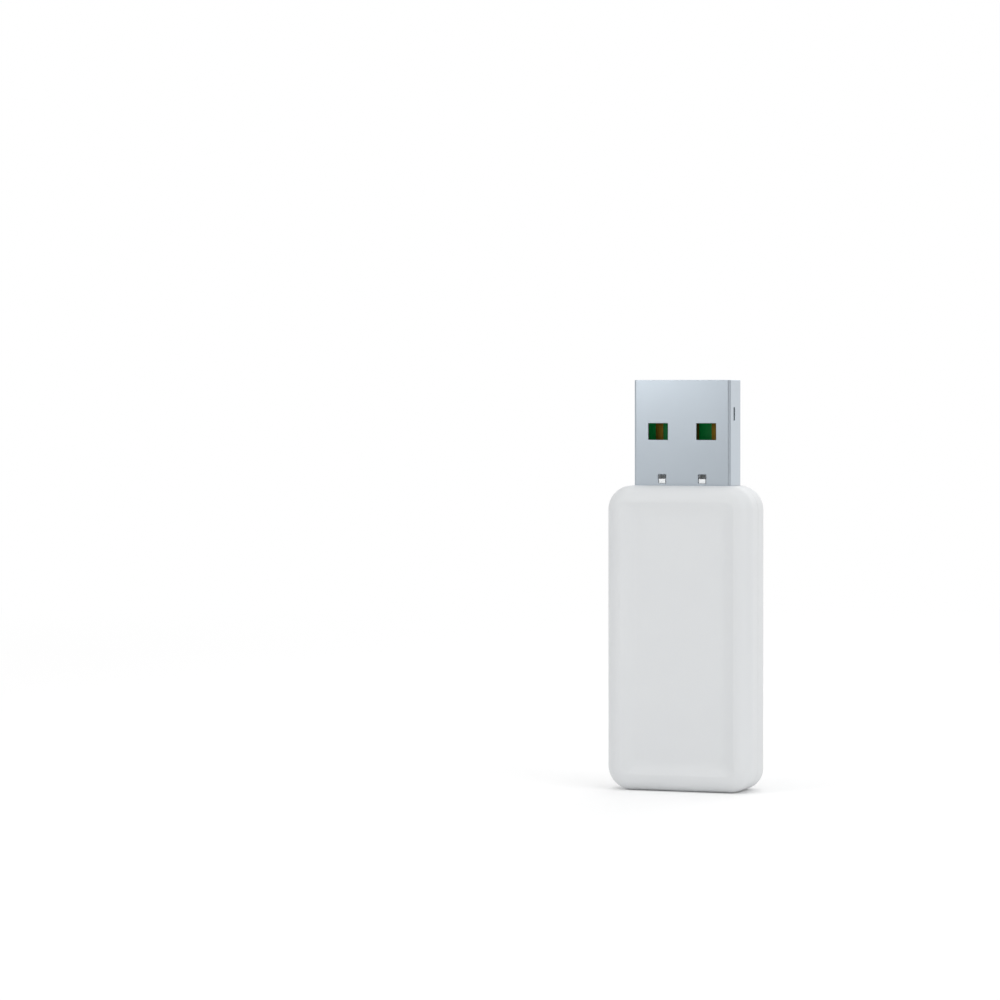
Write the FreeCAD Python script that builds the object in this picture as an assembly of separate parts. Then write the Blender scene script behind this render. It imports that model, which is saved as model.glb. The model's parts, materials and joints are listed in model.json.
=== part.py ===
import FreeCAD, Part
import math
import os

# A radio stick that plugs into a host's port and stands here on its closed end.
# Millimetres. X runs across the stick, Y from its dished front to its back, and Z up to the plug's tip.
# The origin is the middle of the closed end, where the stick rests.

# Housing, outside
body_width = 18.0
body_depth = 8.4
body_height = 36.45
outline_radius = 2.9
front_roll = 1.85
back_roll = 2.75
closed_end_roll = 1.5
inner_bevel_share = 0.6

# Housing, walls and joint between its two shells
side_wall = 1.1
front_wall = 1.0
back_wall = 1.1
rear_shell_depth = 4.6
parting_gap = 0.03
lip_width = 0.5
lip_height = 2.5
post_joint_depth = 2.7
lip_clearance = 0.04

# Dished front face inside the rolled rim
rim_land = 0.15
dish_depth = 0.45
dish_run = 1.25
dish_corner = 0.9
dish_floor_blend = 3.2
crest_blend = 1.0

# Press pins that hold the shells together
post_half = 0.95
post_inset = 1.4
pin_radius = 0.5
pin_clearance = 0.02
pin_length = 2.2
bore_depth = 2.6
lower_post_z = 9.5
upper_post_drop = 3.25
web_width = 0.7

# Ribs inside the shells
root = 0.3
rest_bearing = 0.6
rest_length = 2.0
lower_rest_z = 14.0
upper_rest_drop = 8.0
rib_thickness = 0.65
rib_from_plug = 0.2
rib_drop = 0.1
seat_clearance = 0.05
stop_width = 4.0

# Plug shell, folded from one sheet to the standard plug's size
plug_width = 12.0
plug_height = 4.5
plug_reach = 12.6
plug_back_cover = 1.62
plug_gap = 0.06
sheet = 0.3
bend_inside = 0.03
mouth_break = 0.08
window_width = 2.45
window_length = 2.0
window_from_tip = 5.16
window_offset = 3.0
latch_width = 1.02
latch_length = 1.1
latch_offset = 2.5
latch_rise = 0.24
side_slot_width = 0.6
side_slot_length = 1.6
side_slot_from_tip = 3.27
side_slot_from_front = 1.42
seam_gap = 0.06
key_reach = 0.9
key_neck = 1.2
key_flare = 0.35
key_root = 0.5
key_from_tip = 9.0
leg_width = 1.0
leg_length = 2.9

# Moulded carrier inside the plug shell
flange_drop = 1.3
flange_thickness = 1.0
flange_overhang = 0.9
flange_corner = 0.8
tray_floor = 0.32
tray_side = 0.32
tray_recess = 0.4
fit_gap = 0.03
block_rise = 1.5
snap_clearance = 0.12
snap_height = 0.5
pocket_depth = 1.5
pocket_overlap = 0.1
snap_sink = 0.05

# Board and the contacts on its tongue
board_thickness = 1.6
board_side_gap = 0.6
board_end_gap = 0.6
board_chamfer = 0.25
board_corner_share = 0.7
tongue_corner = 0.4
notch_clearance = 0.2
leg_clearance = 0.06
contact_width = 0.92
contact_thickness = 0.05
contact_end_from_tip = 8.6
outer_contact_offset = 3.5
outer_contact_from_tip = 1.2
inner_contact_offset = 1.0
inner_contact_from_tip = 2.2

# Stamped and folded antenna at the closed end
antenna_sheet = 0.3
antenna_inset = 1.4
antenna_strip = 0.8
antenna_strips = 9
antenna_rise = 0.5
antenna_height = 4.6
antenna_clearance = 0.9
antenna_leg_clearance = 0.1

# Folded shield over the long-range radio
shield_width = 9.6
shield_length = 9.2
shield_height = 1.5
shield_sheet = 0.2
shield_edge = 0.12
shield_slit = 0.28
shield_slit_start = 0.4
shield_gap_width = 1.4
shield_gap_height = 0.3
shield_gap_pitch = 4.0
shield_z = 14.0

# Chips, each a square of this size
long_range_chip_size = 5.0
mesh_chip_size = 4.0
serial_chip_size = 3.0
chip_height = 0.75
chip_rim = 0.03
chip_chamfer = 0.06
land_height = 0.12
land_share = 0.56
dimple_radius = 0.25
dimple_inset = 0.7
dimple_depth = 0.06

# Lidded crystals and filter
lidded_length = 2.0
lidded_width = 1.6
lidded_border = 0.12
crystal_tray = 0.3
crystal_lid = 0.15
filter_tray = 0.45
filter_lid = 0.2

# Two-ended parts, as length, width, height and the length of each end cap
small_length = 1.0
small_width = 0.5
small_height = 0.5
small_cap = 0.25
resistor_height = 0.35
bead_length = 1.6
bead_width = 0.8
bead_height = 0.8
bead_cap = 0.3
power_length = 2.0
power_width = 1.25
power_height = 1.25
power_cap = 0.4
large_length = 3.2
large_width = 1.6
large_height = 0.7
fuse_cap = 0.5
antenna_cap = 0.35
cap_skin = 0.03

# Small packages with gull-wing leads
regulator_length = 2.9
regulator_width = 1.6
regulator_height = 1.1
protector_length = 1.7
protector_width = 1.0
protector_height = 0.6
package_standing = 0.08
package_chamfer = 0.1
lead_thickness = 0.14
lead_half = 0.2
lead_reach = 0.65
lead_root = 0.2
regulator_lead_pitch = 0.95
protector_lead_pitch = 0.65

# How far an edge may stray and still count as lying in a plane
flat = 0.001

# Places worked out from the sizes above
half_width = body_width / 2
front_y = -body_depth / 2
back_y = body_depth / 2
parting_y = back_y - rear_shell_depth
lip_top = parting_y + lip_height
joint_y = back_y - post_joint_depth
rim_width = front_roll + rim_land
field_y = front_y + dish_depth
inner_front_y = field_y + front_wall
inner_back_y = back_y - back_wall
back_edge_roll = min(back_roll, outline_radius - 0.1, back_y - parting_y - 0.05)
closed_edge_roll = min(closed_end_roll, back_edge_roll)
cavity_half = half_width - side_wall
cavity_top = body_height - side_wall
lip_inset = side_wall - lip_width
post_x = cavity_half - post_inset

tip_z = body_height + plug_reach
plug_half = plug_width / 2
plug_back_y = back_y - plug_back_cover
plug_front_y = plug_back_y - plug_height
flange_top = cavity_top - flange_drop
flange_bottom = flange_top - flange_thickness
flange_half = plug_half + flange_overhang
latch_z = body_height + latch_rise

board_back_y = plug_back_y - sheet - fit_gap - tray_floor
board_front_y = board_back_y - board_thickness
board_half = cavity_half - board_side_gap
board_bottom = side_wall + board_end_gap
shoulder_z = flange_bottom - rib_thickness - 2 * seat_clearance
tray_half = plug_half - sheet - fit_gap
tongue_half = tray_half - tray_side - fit_gap
tray_tip = tip_z - tray_recess

upper_post_z = shoulder_z - upper_post_drop
post_heights = (lower_post_z, upper_post_z)
rest_heights = (lower_rest_z, shoulder_z - upper_rest_drop)


def box(x_low, x_high, y_low, y_high, z_low, z_high):
    """Plain block between two corners"""
    return Part.makeBox(x_high - x_low, y_high - y_low, z_high - z_low, FreeCAD.Vector(x_low, y_low, z_low))


def rounded_face(u_low, u_high, v_low, v_high, radius, place):
    """Rounded rectangle, set into space by a function of its two directions"""
    corners = ((u_high, v_high, 0), (u_low, v_high, 90), (u_low, v_low, 180), (u_high, v_low, 270))
    arcs = []
    for u, v, start in corners:
        centre_u = u - math.copysign(radius, u - (u_low + u_high) / 2)
        centre_v = v - math.copysign(radius, v - (v_low + v_high) / 2)
        angles = [math.radians(start + step) for step in (0, 45, 90)]
        arcs.append([place(centre_u + radius * math.cos(a), centre_v + radius * math.sin(a)) for a in angles])
    edges = []
    for index, arc in enumerate(arcs):
        edges.append(Part.Arc(*arc).toShape())
        edges.append(Part.makeLine(arc[2], arcs[(index + 1) % 4][0]))
    return Part.Face(Part.Wire(edges))


def block_along_y(x_low, x_high, z_low, z_high, radius, y_low, y_high):
    """Block whose corners are rounded as seen from the front"""
    face = rounded_face(x_low, x_high, z_low, z_high, radius, lambda u, v: FreeCAD.Vector(u, y_low, v))
    return face.extrude(FreeCAD.Vector(0, y_high - y_low, 0))


def block_along_z(x_low, x_high, y_low, y_high, radius, z_low, z_high):
    """Block whose corners are rounded as seen from above"""
    face = rounded_face(x_low, x_high, y_low, y_high, radius, lambda u, v: FreeCAD.Vector(u, v, z_low))
    return face.extrude(FreeCAD.Vector(0, 0, z_high - z_low))


def rod_along_y(x, z, radius, y_low, y_high):
    """Round rod from front to back"""
    return Part.makeCylinder(radius, y_high - y_low, FreeCAD.Vector(x, y_low, z), FreeCAD.Vector(0, 1, 0))


def square_post(z, y_low, y_high, growth):
    """The right square post at a height, grown for the notch that it passes through"""
    half = post_half + growth
    return box(post_x - half, post_x + half, y_low, y_high, z - half, z + half)


def hexagonal_pin(z, y_low, y_high):
    """The right press pin at a height, six-sided so that only its corners bite into the round bore"""
    corners = []
    for step in range(7):
        angle = math.radians(60 * step)
        across = pin_radius * math.cos(angle)
        up = pin_radius * math.sin(angle)
        corners.append(FreeCAD.Vector(post_x + across, y_low, z + up))
    return Part.Face(Part.makePolygon(corners)).extrude(FreeCAD.Vector(0, y_high - y_low, 0))


def lies_at_y(edge, y):
    """Whether an edge lies in the plane at y"""
    return abs(edge.BoundBox.YMin - y) < flat and abs(edge.BoundBox.YMax - y) < flat


def edges_at_y(shape, y):
    """Edges that lie in the plane at y"""
    return [e for e in shape.Edges if lies_at_y(e, y)]


def edges_at_z(shape, z):
    """Edges that lie in the plane at z"""
    return [e for e in shape.Edges if abs(e.BoundBox.ZMin - z) < flat and abs(e.BoundBox.ZMax - z) < flat]


def both_sides(shape):
    """The piece on the right and its mirror image on the left"""
    return [shape, shape.mirror(FreeCAD.Vector(0, 0, 0), FreeCAD.Vector(1, 0, 0))]


# Housing


def outer_form():
    """The stick's outer form: a slab with a rolled front edge and a back edge that rolls wider.

    The back roll tightens round both lower corners, so that the closed end keeps a flat to stand on.
    """
    document = FreeCAD.newDocument("housing")
    slab = document.addObject("Part::Feature", "slab")
    slab.Shape = block_along_y(-half_width, half_width, 0, body_height, outline_radius, front_y, back_y)
    rolled = document.addObject("Part::Fillet", "rolled")
    rolled.Base = slab
    radii = []
    for number, edge in enumerate(slab.Shape.Edges, 1):
        if lies_at_y(edge, back_y):
            ends = (edge.firstVertex(True), edge.lastVertex(True))
            radii.append((number, *[closed_edge_roll if end.Z < flat else back_edge_roll for end in ends]))
    rolled.Edges = radii
    document.recompute()
    return rolled.Shape.makeFillet(front_roll, edges_at_y(rolled.Shape, front_y))


def cavity():
    """The room inside, whose bevelled edges follow the rolls outside"""
    room = block_along_y(
        -cavity_half,
        cavity_half,
        side_wall,
        cavity_top,
        outline_radius - side_wall,
        inner_front_y,
        inner_back_y,
    )
    front_bevel = inner_bevel_share * (front_roll - side_wall)
    back_bevel = inner_bevel_share * (back_edge_roll - back_wall)
    room = room.makeChamfer(front_bevel, edges_at_y(room, inner_front_y))
    return room.makeChamfer(back_bevel, edges_at_y(room, inner_back_y))


def dish():
    """What the dished face leaves out: four gentle slopes down to a flat field"""
    rise = 0.2
    rim = rim_width - rise * dish_run / dish_depth
    foot = rim_width + dish_run
    form = Part.makeWedge(
        rim - half_width,
        front_y - rise,
        rim,
        foot,
        foot - half_width,
        half_width - rim,
        field_y,
        body_height - rim,
        body_height - foot,
        half_width - foot,
    )
    slope = math.atan2(dish_depth, dish_run)
    slanted = [e for e in form.Edges if e.BoundBox.YLength > dish_depth]
    form = form.makeFillet(dish_corner / math.sin(slope), slanted)
    return form.makeFillet(dish_floor_blend, edges_at_y(form, field_y))


def dished_form():
    """The outer form with its dish, and a soft crest between the dish and the rolled rim"""
    form = outer_form().cut(dish())
    slope = math.atan2(dish_depth, dish_run)
    crest = min(crest_blend, 0.9 * rim_land / math.tan(slope / 2))
    reach = half_width - rim_width + 0.01
    crest_edges = []
    for edge in edges_at_y(form, front_y):
        bounds = edge.BoundBox
        low_enough = bounds.ZMax < body_height - rim_width + 0.01
        if bounds.XMax < reach and bounds.XMin > -reach and low_enough and bounds.ZMin > rim_width - 0.01:
            crest_edges.append(edge)
    return form.makeFillet(crest, crest_edges)


def plug_opening():
    """The hole in the top wall that the plug comes out of, cut half from each shell"""
    return block_along_z(
        -plug_half - plug_gap,
        plug_half + plug_gap,
        plug_front_y - plug_gap,
        plug_back_y + plug_gap,
        sheet + bend_inside + plug_gap,
        flange_top + 0.1,
        body_height + 1,
    )


def lip_block(growth, y_low, y_high):
    """Block out to the lip's outer side between two depths, grown for the rebate that it enters"""
    inset = lip_inset - growth
    return block_along_y(
        -half_width + inset,
        half_width - inset,
        inset,
        body_height - inset,
        outline_radius - inset,
        y_low,
        y_high,
    )


def front_shell():
    """Front shell: dished face, side walls, tall lip, bored posts, board rests and the plug's ribs"""
    keep = box(-body_width, body_width, front_y - 1, parting_y, -1, body_height + 1)
    inside = cavity()
    shell = dished_form().cut(inside).common(keep)
    lip = lip_block(0, parting_y, lip_top).cut(inside)
    lower = inner_front_y - root
    additions = [lip]
    for z in post_heights:
        post = square_post(z, lower, joint_y, 0)
        web_top = board_front_y - notch_clearance
        web = box(post_x, cavity_half + root, lower, web_top, z - web_width / 2, z + web_width / 2)
        additions += both_sides(post.fuse(web))
    for z in rest_heights:
        rest = box(
            board_half - rest_bearing,
            cavity_half + root,
            lower,
            board_front_y,
            z - rest_length / 2,
            z + rest_length / 2,
        )
        additions += both_sides(rest)
    rib_start = plug_half + rib_from_plug
    rib_top = joint_y - rib_drop
    for z in (flange_top + seat_clearance, flange_bottom - seat_clearance - rib_thickness):
        rib = box(rib_start, cavity_half + root, lower, rib_top, z, z + rib_thickness)
        additions += both_sides(rib.common(lip_block(0, lower, joint_y)))
    stop_top = board_bottom - seat_clearance
    additions.append(box(-stop_width / 2, stop_width / 2, board_front_y, rib_top, side_wall - root, stop_top))
    shell = shell.multiFuse(additions).removeSplitter()
    bores = []
    for z in post_heights:
        bore = rod_along_y(post_x, z, pin_radius + pin_clearance, joint_y - bore_depth, joint_y + 1)
        bores += both_sides(bore)
    return shell.cut(Part.Compound(bores)).cut(plug_opening())


def rear_shell():
    """Rear shell: rolled back, thin skirt outside the lip, press pins and board rests"""
    keep = box(-body_width, body_width, parting_y + parting_gap, back_y + 1, -1, body_height + 1)
    shell = outer_form().cut(cavity()).common(keep)
    shell = shell.cut(lip_block(lip_clearance, parting_y, lip_top))
    upper = inner_back_y + root
    additions = []
    for z in post_heights:
        boss = square_post(z, joint_y, upper, 0)
        pin = hexagonal_pin(z, joint_y - pin_length, joint_y + root)
        additions += both_sides(boss.fuse(pin))
    for z in rest_heights:
        rest = box(
            board_half - rest_bearing,
            board_half + root,
            board_back_y,
            upper,
            z - rest_length / 2,
            z + rest_length / 2,
        )
        additions += both_sides(rest)
    return shell.multiFuse(additions).removeSplitter().cut(plug_opening())


# Plug


def seam():
    """The closed seam down the plug's back, with a dovetail key that stops it springing open"""
    middle = tip_z - key_from_tip
    deep = plug_back_y - 2 * sheet
    strip = box(-seam_gap / 2, seam_gap / 2, deep, plug_back_y + 1, flange_top - 1, tip_z + 1)

    def key(growth):
        neck = key_neck / 2 + growth
        head = neck + key_flare
        reach = key_reach + growth
        below = [(-key_root, -neck), (0, -neck), (reach, -head)]
        above = [(x, -z) for x, z in reversed(below)]
        points = [FreeCAD.Vector(x, deep, middle + z) for x, z in below + above + below[:1]]
        return Part.Face(Part.makePolygon(points)).extrude(FreeCAD.Vector(0, 2 * sheet + 1, 0))

    larger = key(seam_gap).common(box(-seam_gap / 2, body_width, -body_depth, body_depth, 0, tip_z))
    return strip.fuse(larger).cut(key(0))


def plug_shell():
    """Folded sheet: a rounded tube with windows, latch holes, side slots, a keyed seam and two solder legs"""
    bend = sheet + bend_inside
    outside = block_along_z(-plug_half, plug_half, plug_front_y, plug_back_y, bend, flange_top, tip_z)
    outside = outside.makeChamfer(mouth_break, edges_at_z(outside, tip_z))
    inside = block_along_z(
        -plug_half + sheet,
        plug_half - sheet,
        plug_front_y + sheet,
        plug_back_y - sheet,
        bend_inside,
        flange_top - 1,
        tip_z + 1,
    )
    tube = outside.cut(inside)
    window_top = tip_z - window_from_tip
    cuts = [seam()]
    cuts += both_sides(
        box(
            window_offset - window_width / 2,
            window_offset + window_width / 2,
            plug_front_y - 1,
            plug_back_y + 1,
            window_top - window_length,
            window_top,
        )
    )
    cuts += both_sides(
        box(
            latch_offset - latch_width / 2,
            latch_offset + latch_width / 2,
            plug_front_y - 1,
            plug_front_y + 2 * sheet,
            latch_z,
            latch_z + latch_length,
        )
    )
    slot_front = plug_front_y + side_slot_from_front
    slot_top = tip_z - side_slot_from_tip
    cuts += both_sides(
        box(
            plug_half - 2 * sheet,
            plug_half + 1,
            slot_front,
            slot_front + side_slot_width,
            slot_top - side_slot_length,
            slot_top,
        )
    )
    tube = tube.cut(Part.Compound(cuts))
    middle_y = (board_front_y + board_back_y) / 2
    leg = box(
        plug_half - sheet,
        plug_half,
        middle_y - leg_width / 2,
        middle_y + leg_width / 2,
        flange_top - leg_length,
        flange_top + root,
    )
    return tube.multiFuse(both_sides(leg)).removeSplitter()


def plug_carrier():
    """White moulding: flange, block behind the latch holes, tray under the board's tongue, snap tabs"""
    flange = block_along_z(
        -flange_half,
        flange_half,
        inner_front_y + 2 * seat_clearance,
        inner_back_y - 4 * seat_clearance,
        flange_corner,
        flange_bottom,
        flange_top,
    )
    block_front = plug_front_y + sheet + fit_gap
    tray_back = board_back_y + tray_floor
    block = box(-tray_half, tray_half, block_front, board_back_y, flange_bottom, body_height + block_rise)
    tray = box(-tray_half, tray_half, board_front_y, tray_back, flange_bottom, tray_tip)
    room_half = tongue_half + fit_gap
    tongue_room = box(-room_half, room_half, board_front_y, board_back_y, flange_bottom - 1, tip_z + 1)
    snap_low = latch_z + seat_clearance
    snap_high = snap_low + snap_height
    snap_half = latch_width / 2 - snap_clearance
    snap = box(
        latch_offset - snap_half,
        latch_offset + snap_half,
        plug_front_y + snap_sink,
        block_front + root,
        snap_low,
        snap_high,
    )
    pocket_half = latch_width / 2 + pocket_overlap
    pocket = box(
        latch_offset - pocket_half,
        latch_offset + pocket_half,
        block_front - 1,
        block_front + pocket_depth,
        snap_high,
        latch_z + latch_length + pocket_overlap,
    )
    middle_y = (board_front_y + board_back_y) / 2
    leg_slot = box(
        plug_half - sheet - leg_clearance,
        plug_half + leg_clearance,
        middle_y - leg_width / 2 - leg_clearance,
        middle_y + leg_width / 2 + leg_clearance,
        flange_bottom - 1,
        flange_top + 1,
    )
    moulding = flange.multiFuse([block, tray] + both_sides(snap)).removeSplitter()
    return moulding.cut(Part.Compound([tongue_room] + both_sides(leg_slot) + both_sides(pocket)))


# Board


def main_board():
    """One board: wide below with notches for the posts, and a tongue that reaches into the plug"""
    corner = max(board_corner_share * (outline_radius - side_wall - board_side_gap), tongue_corner)
    right = [
        (board_half - corner, board_bottom),
        (board_half, board_bottom + corner),
        (board_half, shoulder_z),
        (tongue_half, shoulder_z),
        (tongue_half, tray_tip - tongue_corner),
        (tongue_half - tongue_corner, tray_tip),
    ]
    left = [(-x, z) for x, z in reversed(right)]
    outline = [FreeCAD.Vector(x, board_front_y, z) for x, z in right + left + right[:1]]
    board = Part.Face(Part.makePolygon(outline)).extrude(FreeCAD.Vector(0, board_thickness, 0))
    tip_edge = [e for e in edges_at_y(board, board_front_y) if e.BoundBox.ZMin > tray_tip - flat]
    board = board.makeChamfer(board_chamfer, tip_edge)
    cuts = []
    for z in post_heights:
        cuts += both_sides(square_post(z, board_front_y - 1, board_back_y + 1, notch_clearance))
    cuts += both_sides(
        box(
            plug_half - sheet - leg_clearance,
            plug_half + leg_clearance,
            board_front_y - 1,
            board_back_y + 1,
            flange_top - leg_length - leg_clearance,
            shoulder_z + 1,
        )
    )
    cuts += both_sides(antenna_leg(board_front_y - 1, board_back_y + 1, antenna_leg_clearance))
    return board.cut(Part.Compound(cuts))


def contact(x, from_tip):
    """One plated contact on the tongue's front"""
    low = x - contact_width / 2
    high = x + contact_width / 2
    front = board_front_y - contact_thickness
    return box(low, high, front, board_front_y, tip_z - contact_end_from_tip, tip_z - from_tip)


# Antenna at the closed end: a slotted strip of sheet held off the board by a folded leg at each end


antenna_half = board_half - antenna_inset
antenna_low = board_bottom + antenna_rise
antenna_top = antenna_low + antenna_height
antenna_y = inner_front_y + antenna_clearance


def antenna_leg(y_low, y_high, growth):
    """The right leg between two depths, grown for the slot that it passes through in the board"""
    middle = (antenna_low + antenna_top) / 2
    return box(
        antenna_half - antenna_sheet - growth,
        antenna_half + growth,
        y_low,
        y_high,
        middle - antenna_strip / 2 - growth,
        middle + antenna_strip / 2 + growth,
    )


def stamped_antenna():
    """Sheet slotted from above and below in turn, so that one strip zigzags from leg to leg"""
    sheet_back = antenna_y + antenna_sheet
    plate = box(-antenna_half, antenna_half, antenna_y, sheet_back, antenna_low, antenna_top)
    gap = (2 * antenna_half - antenna_strips * antenna_strip) / (antenna_strips - 1)
    slots = []
    for index in range(antenna_strips - 1):
        left = -antenna_half + antenna_strip + index * (antenna_strip + gap)
        low = antenna_low + antenna_strip if index % 2 else antenna_low - 1
        high = antenna_top + 1 if index % 2 else antenna_top - antenna_strip
        slots.append(box(left, left + gap, antenna_y - 1, sheet_back + 1, low, high))
    strip = plate.cut(Part.Compound(slots))
    return strip.multiFuse(both_sides(antenna_leg(antenna_y, board_back_y, 0))).removeSplitter()


# Parts on the board


def on_front(shape, x, z):
    """Seats a part, modelled with its base at y = 0 and its top towards -y, on the board's front"""
    placed = shape.copy()
    placed.translate(FreeCAD.Vector(x, board_front_y, z))
    return placed


def on_back(shape, x, z):
    """Seats the same kind of part on the board's back"""
    placed = shape.copy()
    placed.rotate(FreeCAD.Vector(0, 0, 0), FreeCAD.Vector(0, 0, 1), 180)
    placed.translate(FreeCAD.Vector(x, board_back_y, z))
    return placed


def square_package(size, height):
    """Square flat chip with a dimple at its first pin"""
    half = size / 2
    body = box(-half, half, -height, 0, -half, half)
    body = body.makeChamfer(chip_chamfer, edges_at_y(body, -height))
    corner = half - dimple_inset
    return body.cut(rod_along_y(-corner, corner, dimple_radius, -height - 1, -height + dimple_depth))


def quad_package(size, height, lands):
    """Square flat chip with the ends of its solder lands along each side"""
    half = size / 2
    body = square_package(size - 2 * chip_rim, height)
    pitch = size / (lands + 1)
    land_half = land_share * pitch / 2
    rows = []
    for index in range(lands):
        place = -half + (index + 1) * pitch
        rows.append(box(-half, half, -land_height, 0, place - land_half, place + land_half))
        rows.append(box(place - land_half, place + land_half, -land_height, 0, -half, half))
    return body.multiFuse(rows).removeSplitter()


def chip_part(length, width, height, cap):
    """Two-ended part: a block with a wrapped metal cap on each end"""
    body = box(
        -length / 2 + cap_skin,
        length / 2 - cap_skin,
        -height + cap_skin,
        -cap_skin,
        -width / 2 + cap_skin,
        width / 2 - cap_skin,
    )
    caps = []
    for low in (-length / 2, length / 2 - cap):
        caps.append(box(low, low + cap, -height, 0, -width / 2, width / 2))
    return body.multiFuse(caps).removeSplitter()


def lidded_part(base, lid):
    """Ceramic tray closed by a lid a little smaller than itself"""
    half_along = lidded_length / 2
    half_across = lidded_width / 2
    tray = box(-half_along, half_along, -base, 0, -half_across, half_across)
    lid_length = half_along - lidded_border
    lid_width = half_across - lidded_border
    return tray.fuse(box(-lid_length, lid_length, -base - lid, -base, -lid_width, lid_width))


def leaded_package(length, width, height, lead_places):
    """Small moulded package with gull-wing leads; each place is a lead's middle and its side, -1 or 1"""
    body = box(-length / 2, length / 2, -height, -package_standing, -width / 2, width / 2)
    body = body.makeChamfer(package_chamfer, edges_at_y(body, -height))
    knee = height / 2
    side_face = width / 2
    root_z = side_face - lead_root
    foot_z = side_face + lead_reach
    leads = []
    for place, side in lead_places:
        profile = [
            (-knee - lead_thickness, root_z),
            (-knee - lead_thickness, side_face + lead_thickness),
            (-lead_thickness, foot_z - 2 * lead_thickness),
            (-lead_thickness, foot_z),
            (0, foot_z),
            (0, side_face + 1.5 * lead_thickness),
            (-knee, side_face + 0.5 * lead_thickness),
            (-knee, root_z),
        ]
        points = [FreeCAD.Vector(place - lead_half, y, side * z) for y, z in profile]
        points.append(points[0])
        leads.append(Part.Face(Part.makePolygon(points)).extrude(FreeCAD.Vector(2 * lead_half, 0, 0)))
    return body.multiFuse(leads).removeSplitter()


def radio_shield():
    """Folded can, open towards the board: slit at its corners, with low gaps where tracks pass under"""
    half_x = shield_width / 2
    half_z = shield_length / 2
    can = box(-half_x, half_x, -shield_height, 0, -half_z, half_z)
    can = can.makeChamfer(shield_edge, edges_at_y(can, -shield_height))
    inner_x = half_x - shield_sheet
    inner_z = half_z - shield_sheet
    cuts = [box(-inner_x, inner_x, -shield_height + shield_sheet, 1, -inner_z, inner_z)]
    for side in (-1, 1):
        slit_z = side * half_z
        slit = box(
            half_x - shield_slit,
            half_x + shield_slit,
            -shield_height + shield_slit_start,
            1,
            slit_z - shield_slit,
            slit_z + shield_slit,
        )
        cuts += both_sides(slit)
    for x in (-shield_gap_pitch / 2, shield_gap_pitch / 2):
        low = x - shield_gap_width / 2
        high = x + shield_gap_width / 2
        cuts.append(box(low, high, -shield_gap_height, 1, -shield_length, shield_length))
    return can.cut(Part.Compound(cuts))


def fitted_parts():
    """Everything soldered to the board, by name"""
    below = shoulder_z
    small = chip_part(small_length, small_width, small_height, small_cap)
    flat_small = chip_part(small_length, small_width, resistor_height, small_cap)
    power = chip_part(power_length, power_width, power_height, power_cap)
    bead = chip_part(bead_length, bead_width, bead_height, bead_cap)
    crystal = lidded_part(crystal_tray, crystal_lid)
    fuse = chip_part(large_length, large_width, large_height, fuse_cap)
    ceramic_antenna = chip_part(large_length, large_width, large_height, antenna_cap)
    wide = regulator_lead_pitch
    five_leads = [(-wide, -1), (0, -1), (wide, -1), (-wide, 1), (wide, 1)]
    close = protector_lead_pitch
    six_leads = [(x, side) for x in (-close, 0, close) for side in (-1, 1)]
    regulator = leaded_package(regulator_length, regulator_width, regulator_height, five_leads)
    protector = leaded_package(protector_length, protector_width, protector_height, six_leads)
    radio_chip = square_package(long_range_chip_size, chip_height)
    fitted = {
        "long_range_radio_chip": on_front(radio_chip, -1.2, shield_z + 0.6),
        "long_range_crystal": on_front(crystal, 3.2, shield_z + 2.2),
        "radio_shield": on_front(radio_shield(), 0, shield_z),
        "antenna_filter": on_front(lidded_part(filter_tray, filter_lid), 0.4, shield_z - 6.2),
        "voltage_regulator": on_front(regulator, -2.6, below - 5.2),
        "resettable_fuse": on_front(fuse, -2.8, below - 1.6),
        "ferrite_bead": on_front(bead, 0.6, below - 1.6),
        "bulk_capacitor_1": on_front(power, 3.2, below - 1.6),
        "bulk_capacitor_2": on_front(power, 2.0, below - 5.2),
        "mesh_radio_chip": on_back(quad_package(mesh_chip_size, chip_height, 5), 0.4, shield_z + 1.0),
        "mesh_crystal": on_back(crystal, -4.0, shield_z + 1.6),
        "mesh_antenna": on_back(ceramic_antenna, -2.2, board_bottom + 1.3),
        "usb_serial_chip": on_back(quad_package(serial_chip_size, chip_height, 4), 0, below - 6.4),
        "surge_protector": on_back(protector, 0, below - 1.9),
    }
    inductors = ((2.4, shield_z - 6.4), (3.9, shield_z - 6.9), (-1.6, shield_z - 6.2))
    for index, (x, z) in enumerate(inductors, 1):
        fitted[f"matching_inductor_{index}"] = on_front(small, x, z)
    front_capacitors = ((3.2, shield_z - 0.4), (3.2, shield_z - 1.8), (-2.4, shield_z - 3.6))
    back_capacitors = ((-4.0, shield_z - 0.6), (3.6, below - 6.4), (-3.6, below - 6.4))
    for index, (x, z) in enumerate(front_capacitors, 1):
        fitted[f"decoupling_capacitor_{index}"] = on_front(small, x, z)
    for index, (x, z) in enumerate(back_capacitors, len(front_capacitors) + 1):
        fitted[f"decoupling_capacitor_{index}"] = on_back(small, x, z)
    resistors = ((-2.6, below - 1.6), (2.6, below - 1.6), (-2.6, below - 3.0), (2.6, below - 3.0))
    for index, (x, z) in enumerate(resistors, 1):
        fitted[f"signal_resistor_{index}"] = on_back(flat_small, x, z)
    return fitted


pieces = {
    "front_shell": front_shell(),
    "rear_shell": rear_shell(),
    "plug_shell": plug_shell(),
    "plug_carrier": plug_carrier(),
    "main_board": main_board(),
    "contact_power": contact(-outer_contact_offset, outer_contact_from_tip),
    "contact_data_minus": contact(-inner_contact_offset, inner_contact_from_tip),
    "contact_data_plus": contact(inner_contact_offset, inner_contact_from_tip),
    "contact_ground": contact(outer_contact_offset, outer_contact_from_tip),
    "stamped_antenna": stamped_antenna(),
}
pieces.update(fitted_parts())

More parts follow.
